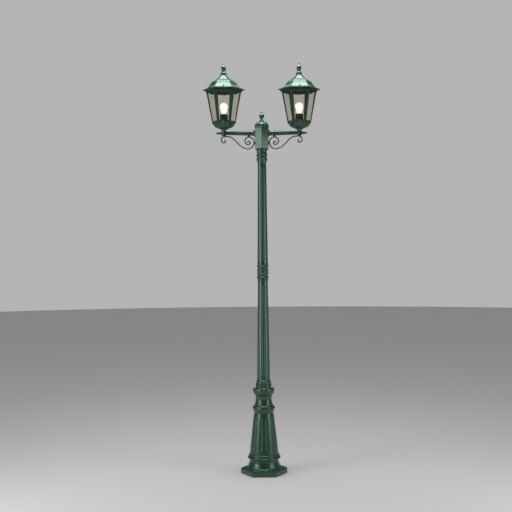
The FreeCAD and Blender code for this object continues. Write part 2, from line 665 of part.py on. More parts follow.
def roof():
    """Six-sided swept roof with a wide brim over a short skirt, and ribbed hips; screw seats low down."""
    shell = Part.makeLoft([ribbed_hexagon(r, z) for r, z in ROOF_OUTLINE], True, True)
    skirt = faceted([(103.5, SKIRT_LOW), (104.5, 2057)])
    shell = shell.fuse(skirt.cut(faceted([(100, SKIRT_LOW - 1), (101, 2054), (98.5, CAGE_TOP + ROOF_GAP)])))
    shape = shell.cut([faceted(ROOF_HOLLOW), rod(3.3, 2130, 2150)])
    seat = rod_between(4.2, at(LUG_FACE + 8.5, 0, ROOF_SCREW_Z), at(100, 0, ROOF_SCREW_Z))
    hole = rod_between(2.3, at(60, 0, ROOF_SCREW_Z), at(80, 0, ROOF_SCREW_Z))
    return shape.cut(around(seat.fuse(hole), ROOF_SCREWS, 30))


def roof_screws():
    """Dark pan-headed screws that pinch the roof on the cage's lugs."""
    screw = turned((0, 0), (2.0, 0), (2.0, 8.2), (3.7, 8.2), (3.7, 10.2), (2.8, 11.2), (0, 11.4))
    slot = block(Vector(-5, -0.5, 10.2), Vector(5, 0.5, 12))
    screw = screw.cut(slot)
    screw.rotate(ORIGIN, Vector(0, 1, 0), 90)
    screw.translate(Vector(LUG_FACE + 0.3, 0, ROOF_SCREW_Z))
    return around(screw, ROOF_SCREWS, 30)


def roof_finial():
    """Turned finial with its own stud through the roof."""
    top = ROOF_TOP
    return turned((0, 2132), (3.0, 2132), (3.0, top), (14, top), (14.4, top + 1.5), (11.8, 2152, 10.6, 2157),
                  (10.0, 2160), (10.6, 2162.5), (12.6, 2166.5, 12.8, 2172), (11.8, 2180, 8.4, 2186),
                  (6.0, 2189.4, 4.4, 2191), *ball_tip(5.0, TOTAL_H))


def roof_nut():
    """Nut that holds the finial from inside the roof."""
    return hex_bar(6.6, 2135.5, 2140).cut(rod(3.05, 2130, 2145))


# ---------------------------------------------------------------- build
def build_post():
    """The post from the foot up to the head."""
    save("foot_casting", foot_casting())
    save("pedestal_casting", pedestal_casting())
    save("flange_bolts", *flange_bolt())
    save("collar_casting", collar_casting())
    save("collar_set_screws", *around(set_screw(), SET_SCREWS, -90))
    save("column_base_ring", column_base_ring())
    save("lower_column", column_tube(LOWER_FOOT, LOWER_TOP, LOWER_FOOT[1] - 430, 528, 1012))
    save("mid_coupling", mid_coupling())
    save("upper_column", column_tube(UPPER_FOOT, UPPER_TOP, 0, 1148, 1628))
    save("neck_casting", neck_casting())
    save("head_box", head_box())
    save("head_box_screws", *head_box_screws())
    save("head_bridge", head_bridge())
    save("bridge_screws", *bridge_screws())
    save("head_stud", head_stud())
    save("head_cap", head_cap())
    save("head_finial", head_finial())
    save("terminal_block", terminal_block())
    save("terminal_screws", *terminal_screws())
    save("arm_nuts", arm_nut(), mirrored(arm_nut()))


def build_side(side, hand):
    """One arm with its lantern; hand turns a right-hand piece to this side."""
    x = LANTERN_X if side == "right" else -LANTERN_X
    save("arm_" + side, hand(arm()))
    save("scroll_" + side, hand(scroll()))
    save("scroll_screws_" + side, *[hand(s) for s in scroll_screws()])
    save("lamp_lead_" + side, hand(tube_along(lead_route(), LEAD_R)))
    lantern = {"stem": [stem()], "stem_nut": [stem_nut()], "cup": [cup()], "cage": [cage()],
               "panes": panes(), "frets": frets(), "lampholder_cap": [lampholder_cap()],
               "lampholder_body": [lampholder_body()], "lampholder_contacts": lampholder_contacts(),
               "bulb_cap": [bulb_cap()], "bulb_glass": [bulb_glass()], "bulb_filament": [bulb_filament()],
               "roof": [roof()], "roof_screws": roof_screws(), "roof_finial": [roof_finial()],
               "roof_nut": [roof_nut()]}
    for name, solids in lantern.items():
        save(name + "_" + side, *[moved(s, x) for s in solids])


os.makedirs("parts", exist_ok=True)
build_post()
build_side("right", lambda shape: shape)
build_side("left", mirrored)
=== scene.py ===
import math

import bmesh
import bpy
from mathutils import Matrix, Vector


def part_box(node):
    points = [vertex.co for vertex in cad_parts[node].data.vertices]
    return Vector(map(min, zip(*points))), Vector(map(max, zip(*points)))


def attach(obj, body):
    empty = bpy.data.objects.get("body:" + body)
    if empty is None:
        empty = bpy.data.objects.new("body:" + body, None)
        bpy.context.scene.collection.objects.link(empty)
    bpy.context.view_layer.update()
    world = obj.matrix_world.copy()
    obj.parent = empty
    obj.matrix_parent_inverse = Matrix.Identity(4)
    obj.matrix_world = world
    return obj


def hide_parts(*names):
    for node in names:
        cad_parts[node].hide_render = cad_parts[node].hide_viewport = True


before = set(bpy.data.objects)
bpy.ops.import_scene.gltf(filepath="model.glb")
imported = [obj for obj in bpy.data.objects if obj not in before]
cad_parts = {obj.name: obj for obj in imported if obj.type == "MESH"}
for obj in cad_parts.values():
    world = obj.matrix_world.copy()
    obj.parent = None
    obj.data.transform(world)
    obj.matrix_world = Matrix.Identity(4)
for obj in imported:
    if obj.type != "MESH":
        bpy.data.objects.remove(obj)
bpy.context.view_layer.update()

# Twin-lantern garden lamp post. The frame holds its castings, tubes, fasteners and wiring. This script
# gives them their finishes, and makes the pieces with cast relief and soft edges: the roofs, cups,
# cages, valances, scrolls, and the head with its cap.
# Lengths in this script are millimetres in the object's own frame. MM turns them into metres.

MM = 0.001
SIX = 6
SIDES = ("left", "right")
COS30 = math.cos(math.pi / 6)


# ---------------------------------------------------------------- places read from the frame
def low_high(node):
    """Lowest and highest corner of a CAD node, in millimetres."""
    low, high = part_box(node)
    return low / MM, high / MM


def axis_x(side):
    """Where a lantern's upright axis stands."""
    low, high = low_high("cage_" + side)
    return (low.x + high.x) / 2


SEAT_Z = low_high("cage_right")[0].z            # joint between the cup and the cage
CAGE_TOP = low_high("panes_right")[1].z + 6.0  # top of the feet of the cage's lugs
ROOF_LOW, ROOF_HIGH = (corner.z for corner in low_high("roof_right"))
BRIM_R = (low_high("roof_right")[1].x - low_high("roof_right")[0].x) / 2
BOSS_TOP = low_high("cup_right")[0].z
ARM_Z = sum(corner.z for corner in low_high("arm_nuts")) / 2
HEAD_LOW, HEAD_HIGH = (corner.z for corner in low_high("head_box"))
HEAD_FLAT = low_high("head_box")[1].x
CAP_HIGH = low_high("head_cap")[1].z


# ---------------------------------------------------------------- mesh helpers
def make_object(name, points, faces, sharp=40.0):
    """Mesh object from points in millimetres, its normals outward, smooth but for edges over an angle."""
    mesh = bpy.data.meshes.new(name)
    mesh.from_pydata([Vector(p) * MM for p in points], [], faces)
    work = bmesh.new()
    work.from_mesh(mesh)
    bmesh.ops.recalc_face_normals(work, faces=work.faces)
    work.to_mesh(mesh)
    work.free()
    mesh.polygons.foreach_set("use_smooth", [True] * len(mesh.polygons))
    mesh.set_sharp_from_angle(angle=math.radians(sharp))
    piece = bpy.data.objects.new(name, mesh)
    bpy.context.scene.collection.objects.link(piece)
    return piece


def joined_rings(rings, wrap, start=0):
    """Quads between neighbouring closed rings, numbered from start; wrap joins the last ring to the first."""
    count = len(rings[0])
    faces = []
    for i in range(len(rings) if wrap else len(rings) - 1):
        here = start + i * count
        there = start + (i + 1) % len(rings) * count
        for k in range(count):
            after = (k + 1) % count
            faces.append((here + k, here + after, there + after, there + k))
    return faces


def ring_object(name, rings, wrap=True, sharp=40.0):
    """Closed mesh through rings of points: a tube closed on itself, or one with a flat face at each end."""
    points = [p for ring in rings for p in ring]
    faces = joined_rings(rings, wrap)
    if not wrap:
        count = len(rings[0])
        faces.append(tuple(range(count)))
        faces.append(tuple(range(len(points) - count, len(points))))
    return make_object(name, points, faces, sharp)


def merged(name, pieces):
    """One object out of several."""
    mesh = bpy.data.meshes.new(name)
    work = bmesh.new()
    for piece in pieces:
        work.from_mesh(piece.data)
        bpy.data.objects.remove(piece)
    work.to_mesh(mesh)
    work.free()
    whole = bpy.data.objects.new(name, mesh)
    bpy.context.scene.collection.objects.link(whole)
    return whole


def rounded_edges(piece, width, segments=3, angle=25.0):
    """Bevels every edge sharper than an angle and keeps the result."""
    bevel = piece.modifiers.new("edges", "BEVEL")
    bevel.width = width * MM
    bevel.segments = segments
    bevel.angle_limit = math.radians(angle)
    bevel.harden_normals = True
    settle(piece)


def settle(piece):
    """Applies the modifiers of a piece."""
    depsgraph = bpy.context.evaluated_depsgraph_get()
    mesh = bpy.data.meshes.new_from_object(piece.evaluated_get(depsgraph))
    piece.modifiers.clear()
    piece.data = mesh


def smooth_line(points, per_span):
    """Points on a Catmull-Rom curve through all the given points."""
    ends = [points[0]] + list(points) + [points[-1]]
    line = []
    for a, b, c, d in zip(ends, ends[1:], ends[2:], ends[3:]):
        for k in range(per_span):
            t = k / per_span
            line.append(tuple(
                0.5 * (2 * q + (r - p) * t + (2 * p - 5 * q + 4 * r - s) * t ** 2
                       + (3 * q - p - 3 * r + s) * t ** 3)
                for p, q, r, s in zip(a, b, c, d)))
    line.append(tuple(points[-1]))
    return line


def smoothstep(low, high, value):
    """0 below low, 1 above high, smooth between."""
    t = min(1.0, max(0.0, (value - low) / (high - low)))
    return t * t * (3 - 2 * t)


def bump(value, middle, width):
    """Bell curve of height 1."""
    return math.exp(-((value - middle) / width) ** 2)


def hexagon(radius, columns):
    """Points round a hexagon with corners at +X and -X: (x, y, distance from face centre, face)."""
    points = []
    for face in range(SIX):
        a, b = math.radians(60 * face), math.radians(60 * face + 60)
        for k in range(columns):
            t = k / columns
            x = radius * (math.cos(a) * (1 - t) + math.cos(b) * t)
            y = radius * (math.sin(a) * (1 - t) + math.sin(b) * t)
            points.append((x, y, (t - 0.5) * radius, face))
    return points


def soft_hexagon(flat, z, fillet, turn=0.0, steps=6):
    """Ring: a hexagon of a given flat-to-axis distance with filleted corners, one corner at angle turn."""
    ring = []
    centre = (flat - fillet) / COS30
    for corner in range(SIX):
        middle = math.radians(turn + 60 * corner)
        for k in range(-1, steps + 2):
            a = middle + math.radians(-30 + 60 * min(steps, max(0, k)) / steps)
            flat_run = 1.2 * min(1.0, flat / 30) * (-1 if k < 0 else 1 if k > steps else 0)
            ring.append((centre * math.cos(middle) + fillet * math.cos(a) - flat_run * math.sin(a),
                         centre * math.sin(middle) + fillet * math.sin(a) + flat_run * math.cos(a), z))
    return ring


def shifted(points, x):
    """The same points on another upright axis."""
    return [(p[0] + x, p[1], p[2]) for p in points]


def dress(piece, material, body, slot, *nodes):
    """Finish, body and the CAD nodes that a piece stands for; slot, the record slot, is not used."""
    piece.data.materials.clear()
    piece.data.materials.append(material)
    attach(piece, body)
    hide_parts(*nodes)


# ---------------------------------------------------------------- camera, floor and light
def set_camera():
    """A little over a metre up and five metres away, slightly tilted."""
    data = bpy.data.cameras.new("camera")
    data.sensor_width = 36
    data.lens = 66.8
    data.clip_end = 100
    camera = bpy.data.objects.new("camera", data)
    camera.location = (-0.05, -5.1, 1.22)
    pan, pitch, roll = (math.radians(angle) for angle in (0.162, -0.60, -0.44))
    turn = Matrix.Rotation(-pan, 4, "Z") @ Matrix.Rotation(math.pi / 2 + pitch, 4, "X")
    camera.rotation_euler = (turn @ Matrix.Rotation(roll, 4, "Z")).to_euler()
    bpy.context.scene.collection.objects.link(camera)
    bpy.context.scene.camera = camera


def add_node(tree, kind, **values):
    """New shader node with attributes and input values set."""
    node = tree.nodes.new(kind)
    for key, value in values.items():
        if hasattr(node, key):
            setattr(node, key, value)
        else:
            node.inputs[key.replace("_", " ")].default_value = value
    return node


def ramp_between(tree, source, low, high, to_low=0.0, to_high=1.0):
    """Smooth map of a value from one range to another."""
    node = add_node(tree, "ShaderNodeMapRange", interpolation_type="SMOOTHSTEP")
    for socket, value in zip(("From Min", "From Max", "To Min", "To Max"), (low, high, to_low, to_high)):
        node.inputs[socket].default_value = value
    tree.links.new(source, node.inputs["Value"])
    return node.outputs["Result"]


def calculate(tree, operation, first, second):
    """Math node on two sockets or numbers."""
    node = add_node(tree, "ShaderNodeMath", operation=operation)
    for socket, value in zip(node.inputs, (first, second)):
        if isinstance(value, (int, float)):
            socket.default_value = value
        else:
            tree.links.new(value, socket)
    return node.outputs[0]


# strengths of the room's surfaces
FRONT_WALL, BACK_WALL, AMBIENT, BACKDROP = 0.05, 0.14, 0.60, 0.46


def soft_light(name, place, aim, size, strength):
    """Rectangular soft light, its strength independent of its size, and unseen by the camera."""
    data = bpy.data.lights.new(name, "AREA")
    data.shape = "RECTANGLE"
    data.size, data.size_y = size
    data.energy = strength * math.pi * size[0] * size[1]
    light = bpy.data.objects.new(name, data)
    light.location = place
    light.rotation_euler = (Vector(aim) - Vector(place)).to_track_quat("-Z", "Y").to_euler()
    light.visible_camera = False
    bpy.context.scene.collection.objects.link(light)


def set_studio():
    """Plain pale floor in a dim grey room, with a soft light overhead and a tall one on each side."""
    world = bpy.data.worlds.new("studio")
    world.use_nodes = True
    tree = world.node_tree
    tree.nodes.clear()
    way = add_node(tree, "ShaderNodeSeparateXYZ")
    tree.links.new(add_node(tree, "ShaderNodeTexCoord").outputs["Generated"], way.inputs[0])

    def blend(share, low, high):
        mix = add_node(tree, "ShaderNodeMix", data_type="FLOAT")
        tree.links.new(share, mix.inputs["Factor"])
        for socket, value in zip((mix.inputs["A"], mix.inputs["B"]), (low, high)):
            if isinstance(value, (int, float)):
                socket.default_value = value
            else:
                tree.links.new(value, socket)
        return mix.outputs[0]

    room = blend(ramp_between(tree, way.outputs["Y"], -0.1, 0.4), FRONT_WALL, BACK_WALL)
    rays = add_node(tree, "ShaderNodeLightPath")
    room = blend(rays.outputs["Is Diffuse Ray"], room, AMBIENT)
    seen = blend(rays.outputs["Is Camera Ray"], room, BACKDROP)
    background = add_node(tree, "ShaderNodeBackground", Color=(1, 1, 1, 1))
    tree.links.new(seen, background.inputs["Strength"])
    out = add_node(tree, "ShaderNodeOutputWorld")
    tree.links.new(background.outputs[0], out.inputs["Surface"])
    bpy.context.scene.world = world
    bpy.context.scene.view_settings.view_transform = "Standard"

    soft_light("overhead", (0.0, -0.12, 2.95), (0.0, -0.12, 0), (1.5, 0.95), 9.0)
    soft_light("left_box", (-1.70, -1.02, 1.32), (0, 0, 1.32), (1.0, 2.1), 3.2)
    soft_light("right_box", (1.72, -0.95, 1.0), (0, 0, 1.0), (0.9, 1.6), 2.3)

    bpy.ops.mesh.primitive_circle_add(vertices=128, radius=14, fill_type="NGON")
    floor = bpy.context.object
    floor.name = "floor"
    floor.data.materials.append(principled("floor", (0.46, 0.46, 0.455), 0.8)[0])


# ---------------------------------------------------------------- materials
def principled(name, colour, roughness, metal=0.0):
    """Material with one Principled shader."""
    material = bpy.data.materials.new(name)
    material.use_nodes = True
    tree = material.node_tree
    shader = tree.nodes["Principled BSDF"]
    shader.inputs["Base Color"].default_value = (*colour, 1)
    shader.inputs["Roughness"].default_value = roughness
    shader.inputs["Metallic"].default_value = metal
    return material, tree, shader


def noise(tree, scale, detail):
    """Noise over the object's own coordinates."""
    node = add_node(tree, "ShaderNodeTexNoise", Scale=scale, Detail=detail)
    tree.links.new(add_node(tree, "ShaderNodeTexCoord").outputs["Object"], node.inputs["Vector"])
    return node.outputs[0]


def mixed_colour(tree, share, low, high):
    """Colour between two, each a triple or a socket."""
    mix = add_node(tree, "ShaderNodeMix", data_type="RGBA")
    tree.links.new(share, mix.inputs["Factor"])
    for socket, value in zip((mix.inputs[6], mix.inputs[7]), (low, high)):
        if isinstance(value, tuple):
            socket.default_value = (*value, 1)
        else:
            tree.links.new(value, socket)
    return mix.outputs[2]


def surface_bump(tree, shader, height, distance, strength=1.0, under=None):
    """Bump of a height field, distance in millimetres, over another normal if there is one."""
    node = add_node(tree, "ShaderNodeBump", Strength=strength, Distance=distance * MM)
    tree.links.new(height, node.inputs["Height"])
    if under is not None:
        tree.links.new(under, node.inputs["Normal"])
    tree.links.new(node.outputs[0], shader.inputs["Normal"])


GRAIN = 0.02                    # depth of the fine grain


def varied(name, low, high, scale, rough, metal):
    """Material whose colour and roughness drift between two values, with a fine grain."""
    material, tree, shader = principled(name, low, rough[0], metal)
    drift = noise(tree, scale, 4)
    colour = mixed_colour(tree, ramp_between(tree, drift, 0.35, 0.65), low, high)
    tree.links.new(colour, shader.inputs["Base Color"])
    tree.links.new(ramp_between(tree, drift, 0.3, 0.7, *rough), shader.inputs["Roughness"])
    surface_bump(tree, shader, noise(tree, scale * 8, 2), GRAIN)
    return material


def green_paint(name, soft_edges):
    """Satin green enamel on a casting: slight colour drift, orange peel, and painted shade that darkens the
    colour in corners.
    """
    material, tree, shader = principled(name, (0.003, 0.033, 0.016), 0.32)
    drift = ramp_between(tree, noise(tree, 9, 4), 0.35, 0.65)
    paint = mixed_colour(tree, drift, (0.0025, 0.030, 0.0145), (0.0035, 0.036, 0.0175))
    # Painted shade: ambient occlusion darkens the paint nearly to black in corners and crevices.
    corner = add_node(tree, "ShaderNodeAmbientOcclusion", samples=4, Distance=0.010)
    closed = ramp_between(tree, corner.outputs["AO"], 0.75, 0.3, 0, 0.8)
    tree.links.new(mixed_colour(tree, closed, paint, (0.0005, 0.005, 0.003)), shader.inputs["Base Color"])
    tree.links.new(ramp_between(tree, noise(tree, 40, 3), 0.3, 0.7, 0.30, 0.35), shader.inputs["Roughness"])
    shader.inputs["Specular IOR Level"].default_value = 1.0
    shader.inputs["Specular Tint"].default_value = (0.70, 1.0, 0.85, 1)
    shader.inputs["Coat Weight"].default_value = 0.2
    shader.inputs["Coat Roughness"].default_value = 0.16
    under = None
    if soft_edges:
        edge = add_node(tree, "ShaderNodeBevel", samples=4, Radius=0.9 * MM)
        under = edge.outputs[0]
    surface_bump(tree, shader, noise(tree, 120, 2), 0.010, 0.5, under)
    return material


def clear_glass():
    """Thin clear pane: mostly straight through, a reflection that grows at a glancing angle."""
    material = bpy.data.materials.new("clear_glass")
    material.use_nodes = True
    tree = material.node_tree
    tree.nodes.clear()
    through = add_node(tree, "ShaderNodeBsdfTransparent", Color=(0.955, 0.945, 0.92, 1))
    gloss = add_node(tree, "ShaderNodeBsdfGlossy", Color=(1, 1, 1, 1), Roughness=0.05)
    patches = ramp_between(tree, noise(tree, 28, 4), 0.4, 0.7)
    film = mixed_colour(tree, patches, (0.96, 0.945, 0.92), (0.93, 0.905, 0.87))
    tree.links.new(film, through.inputs["Color"])
    facing = add_node(tree, "ShaderNodeLayerWeight", Blend=0.5).outputs["Facing"]
    grazing = calculate(tree, "MULTIPLY", calculate(tree, "POWER", facing, 5.0), 0.9)
    mix = add_node(tree, "ShaderNodeMixShader")
    tree.links.new(calculate(tree, "ADD", grazing, 0.025), mix.inputs[0])
    tree.links.new(through.outputs[0], mix.inputs[1])
    tree.links.new(gloss.outputs[0], mix.inputs[2])
    out = add_node(tree, "ShaderNodeOutputMaterial")
    tree.links.new(mix.outputs[0], out.inputs["Surface"])
    return material


def frosted_glass():
    """Lit glass envelope, hottest round the middle of the bulb and clear towards its outline."""
    material, tree, shader = principled("frosted_glass", (0.5, 0.44, 0.35), 0.35)
    low, high = low_high("bulb_glass_right")
    place = add_node(tree, "ShaderNodeSeparateXYZ")
    tree.links.new(add_node(tree, "ShaderNodeTexCoord").outputs["Object"], place.inputs[0])
    up = ramp_between(tree, place.outputs["Z"], low.z * MM, (low.z + 26) * MM, 0.7, 1.35)
    over = ramp_between(tree, place.outputs["Z"], (high.z - 26) * MM, high.z * MM, 1.0, 0.62)
    glow = calculate(tree, "MULTIPLY", up, over)
    tree.links.new(glow, shader.inputs["Emission Strength"])
    facing = add_node(tree, "ShaderNodeLayerWeight", Blend=0.5).outputs["Facing"]
    through = add_node(tree, "ShaderNodeBsdfTransparent", Color=(0.97, 0.95, 0.9, 1))
    mix = add_node(tree, "ShaderNodeMixShader")
    tree.links.new(ramp_between(tree, facing, 0.12, 0.62, 0.0, 0.85), mix.inputs[0])
    tree.links.new(shader.outputs[0], mix.inputs[1])
    tree.links.new(through.outputs[0], mix.inputs[2])
    tree.links.new(mix.outputs[0], tree.nodes["Material Output"].inputs["Surface"])
    shader.inputs["Emission Color"].default_value = (1.0, 0.93, 0.80, 1)
    surface_bump(tree, shader, noise(tree, 900, 2), 0.02)
    return material


def make_materials():
    """One finish for each slot of the record."""
    made = {
        "green_paint": green_paint("green_paint", True),
        "clear_glass": clear_glass(),
        "frosted_glass": frosted_glass(),
    }
    # darker and lighter colour, scale of the drift, range of the roughness, metal
    plain = {
        "bright_steel": ((0.66, 0.66, 0.64), (0.8, 0.8, 0.78), 300, (0.2, 0.3), 1.0),
        "zinc_steel": ((0.42, 0.43, 0.42), (0.6, 0.6, 0.56), 160, (0.32, 0.5), 1.0),
        "dark_screw": ((0.018, 0.02, 0.019), (0.04, 0.042, 0.04), 400, (0.35, 0.5), 0.6),
        "terminal_plastic": ((0.62, 0.6, 0.53), (0.7, 0.68, 0.62), 120, (0.4, 0.5), 0.0),
        "brass": ((0.62, 0.42, 0.16), (0.75, 0.55, 0.24), 260, (0.25, 0.4), 1.0),
        "lead_sheath": ((0.03, 0.03, 0.032), (0.05, 0.05, 0.052), 150, (0.45, 0.6), 0.0),
        "black_bakelite": ((0.005, 0.0045, 0.0045), (0.009, 0.008, 0.0075), 90, (0.45, 0.6), 0.0),
        "lamp_cap": ((0.6, 0.58, 0.52), (0.72, 0.7, 0.66), 240, (0.3, 0.45), 1.0),
        "filament": ((0.5, 0.5, 0.48), (0.6, 0.6, 0.58), 500, (0.3, 0.5), 0.8),
    }
    for name, values in plain.items():
        made[name] = varied(name, *values)
    return made


def paint_frame(finishes):
    """Gives every CAD node the finish of its slot."""
    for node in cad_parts.values():
        for place in node.material_slots:
            place.material = finishes[place.material.name.split(".")[0]]


# ---------------------------------------------------------------- roof
ROOF_PROFILE = [(15.2, -6.5), (17.2, -13), (23, -20.5), (31, -27.5), (38.5, -33.5), (47, -38.5), (56, -43),
                (63, -48), (67.5, -54), (71, -60), (76, -66.5), (81, -72.5), (86.5, -77.5),
                (94, -81.2), (103, -84), (111, -86.2)]       # corner radius, height from the top of the roof
ROOF_INSIDE = [(84, 0.2), (82, 9), (76.5, 16.5), (71.5, 23), (66.5, 30), (63, 35.5), (58, 41), (51, 45),
               (42, 49.5), (33, 55), (24.5, 62), (17, 69.5), (12, 77), (10, 85)]  # height over the brim
BEAD_ROWS = (-48.0, -69.0)      # heights of the two beaded lines on each face
PLEAT_LOW, PLEAT_HIGH = -84.0, -71.5
PLEATS = 13
BEADS = 15
LIP_PITCH = 11.2
LIP_DROP = 1.7
BRIM_LOW = -90.8                # underside of the brim; the skirt's scalloped hem hangs from it
SEAT_DROP = -77.5               # height of the screw seats
SEAT_R = 4.4
SEAT_FLAT = 72.0                # how far a seat stands from the axis


def roof_relief(radius, z, across):
    """How far a point of the roof stands out: ribbed hips, beaded lines and pleats."""
    from_corner = radius / 2 - abs(across)
    hip = min(2.0, 0.05 * radius) * bump(from_corner, 0, 2.8)
    inner = smoothstep(2.5, 6.0, from_corner)
    share = across / radius
    beads = 0.55 + 0.45 * math.cos(2 * math.pi * BEADS * share)
    line = sum(1.5 * bump(z, row, 1.9) for row in BEAD_ROWS) * beads
    wave = abs(math.cos(math.pi * PLEATS * share))
    ends = smoothstep(PLEAT_LOW - 1.5 + 3.5 * (1 - wave), PLEAT_LOW + 2.5 + 3.5 * (1 - wave), z)
    pleat = 1.3 * math.sqrt(wave) * ends * smoothstep(PLEAT_HIGH, PLEAT_HIGH - 3, z)
    step = -1.1 * bump(z, PLEAT_LOW - 2.5, 1.6)
    return hip + inner * (line + pleat + step)


def roof_rings():
    """Rings of the roof: down the outside, round the brim and up the inside."""
    columns = 78
    crown = [(3.4, 0), (9, 0), (14.2, 0)]
    side = smooth_line(ROOF_PROFILE, 6)
    hem = ROOF_LOW - ROOF_HIGH + LIP_DROP
    brim = [(112.4, -86.9), (BRIM_R, -88.9), (BRIM_R - 0.3, -90.2), (111.6, BRIM_LOW)]
    under = [(101.6, BRIM_LOW), (100.2, BRIM_LOW - 0.8), (99.7, hem + 0.3), (98.9, hem), (97.8, hem + 0.3),
             (97.7, BRIM_LOW - 1), (97.0, BRIM_LOW)]
    inside = [(r, z + BRIM_LOW) for r, z in ROOF_INSIDE]
    rings = []
    for radius, z in crown + side + brim + under + inside + [(3.4, -6)]:
        outer = (radius, z) in side
        edge = (radius, z) in under[2:5]
        ring = []
        for x, y, across, face in hexagon(radius, columns):
            out = roof_relief(radius, z, across) if outer else 0.0
            drop = LIP_DROP * abs(math.cos(math.pi * across / LIP_PITCH)) ** 0.7 if edge else 0.0
            flat = math.hypot(x, y)
            grow = 1 + out / flat
            if outer and face in (0, 2, 4) and math.hypot(across, z - SEAT_DROP) < SEAT_R:
                grow = min(grow, SEAT_FLAT / (radius * COS30))
            ring.append((x * grow, y * grow, ROOF_HIGH + z - drop))
        rings.append(ring)
    return rings


def make_roofs(finish):
    """Both roofs."""
    rings = roof_rings()
    for side in SIDES:
        piece = ring_object("roof_shell_" + side, [shifted(ring, axis_x(side)) for ring in rings], sharp=50)
        dress(piece, finish, "roof_" + side, "green_paint", "roof_" + side)


# ---------------------------------------------------------------- cup
CUP_PROFILE = [(12.4, 0), (13.0, 4), (16.5, 9), (24, 13.5), (34, 17.5), (44, 21), (50, 25.5), (53.5, 31),
               (58, 37), (61.5, 41), (62.6, 43)]    # corner radius, height from the boss
CUP_INSIDE = [(53, 43), (50, 32), (46, 27), (37, 22.5), (18, 12.5), (6.4, 11.5)]
CAGE_LEAN = 32.0 / 171.5        # how much the corner radius of the cage grows with its height
LEAF_TIP = 55.0                 # above the boss
LEAF_FOOT = 12.0
LEAF_HALF = 17.5
LEAF_STAND = 0.6                # gap between the leaf's edge and the cup
LEAF_THICK = 2.2


def outer_radius(height):
    """Corner radius of the cup and of the cage above it, at a height over the boss."""
    top = CUP_PROFILE[-1]
    if height >= top[1]:
        return top[0] + (height - top[1]) * CAGE_LEAN
    for (r0, z0), (r1, z1) in zip(CUP_PROFILE, CUP_PROFILE[1:]):
        if height <= z1:
            return r0 + (r1 - r0) * (height - z0) / (z1 - z0)


def cup_body():
    """Bowl that changes from a round neck to a six-sided rim, ribbed like a calyx."""
    columns = 32
    outside = smooth_line(CUP_PROFILE, 3)
    rings = []
    for radius, z in outside + CUP_INSIDE + [(6.4, 0)]:
        outer = (radius, z) in outside
        round_share = 1 - smoothstep(8, 24, z)
        ring = []
        for x, y, across, _ in hexagon(radius, columns):
            flat = math.hypot(x, y)
            round_scale = 1 + (0.94 * radius / flat - 1) * round_share
            rib = 0.0
            if outer:
                fade = smoothstep(8, 16, z) * (1 - smoothstep(37, 42, z))
                rib = -1.5 * (1 - abs(math.cos(math.pi * 4.5 * across / radius))) * fade
            grow = round_scale * (1 + rib / flat)
            ring.append((x * grow, y * grow, BOSS_TOP + z))
        rings.append(ring)
    return rings


def leaf(azimuth):
    """Pointed leaf that follows the cup outwards and up over the foot of the cage."""
    rows, columns = 26, 14
    front, back = [], []
    for i in range(rows + 1):
        s = i / rows
        z = LEAF_FOOT + (LEAF_TIP - LEAF_FOOT) * s
        swell = math.sin(math.pi * min(1.0, 0.16 + 0.84 * s ** 0.8)) ** 0.75
        lobes = 1 + 0.13 * math.cos(2 * math.pi * 2.5 * s)
        width = LEAF_HALF * swell * lobes * min(1.0, outer_radius(z) / 50)
        base = outer_radius(z) * COS30
        curl = 2.0 * smoothstep(0.72, 1.0, s)
        for j in range(columns + 1):
            t = 2 * j / columns - 1
            vein = 0.55 * math.cos(math.pi * (3 * abs(t) + 2.2 * s)) * (1 - abs(t)) * (1 - s)
            rise = LEAF_STAND + 1.6 * (1 - t * t) + 1.1 * bump(t, 0, 0.12) + vein + curl
            y = width * t
            sag = min(0.0, outer_radius(z) / 2 - abs(y)) * 0.5
            front.append((base + rise + sag, y, z))
            back.append((base + rise + sag - LEAF_THICK, y, z))
    stride = columns + 1
    count = len(front)
    faces = []
    for i in range(rows):
        for j in range(columns):
            a = i * stride + j
            faces.append((a, a + 1, a + stride + 1, a + stride))
            faces.append((count + a, count + a + stride, count + a + stride + 1, count + a + 1))
    edge = list(range(stride))
    edge += [i * stride + columns for i in range(1, rows + 1)]
    edge += [rows * stride + j for j in range(columns - 1, -1, -1)]
    edge += [i * stride for i in range(rows - 1, 0, -1)]
    for a, b in zip(edge, edge[1:] + edge[:1]):
        faces.append((b, a, count + a, count + b))
    turn = Matrix.Rotation(math.radians(azimuth), 3, "Z")
    points = [turn @ Vector((x, y, BOSS_TOP + z)) for x, y, z in front + back]
    piece = make_object("leaf", points, faces, 60)
    work = bmesh.new()
    work.from_mesh(piece.data)
    bmesh.ops.remove_doubles(work, verts=work.verts, dist=0.02 * MM)
    work.to_mesh(piece.data)
    work.free()
    return piece


def make_cups(finish):
    """Both cups, each with a leaf on each of its six faces."""
    for side in SIDES:
        pieces = [ring_object("bowl", cup_body(), sharp=50)]
        for k in range(SIX):
            pieces.append(leaf(60 * k + 30))
        piece = merged("cup_leaves_" + side, pieces)
        piece.data.transform(Matrix.Translation((axis_x(side) * MM, 0, 0)))
        dress(piece, finish, "post", "green_paint", "cup_" + side)


# ---------------------------------------------------------------- cage
CAGE_LEVELS = [(62.6, 0.0), (64.65, 11.0), (94.2, 169.5), (94.6, 171.5), (95.4, 172.5), (95.4, 177.0)]
WINDOW_HALVES = [24.5, 25.0, 35.1, 35.3, 35.6, 35.6]
CAGE_WALL = 3.6
CAGE_LIP = 4.8                  # how much further the rim reaches in
# foot and upright of a lug
LUG_BOXES = [((60, -8, CAGE_TOP - 4.5), (79, 8, CAGE_TOP)),
             ((60, -8, CAGE_TOP - 1), (63.5, 8, CAGE_TOP + 18))]
WINDOW_BAND = 1                 # the band of levels that is open


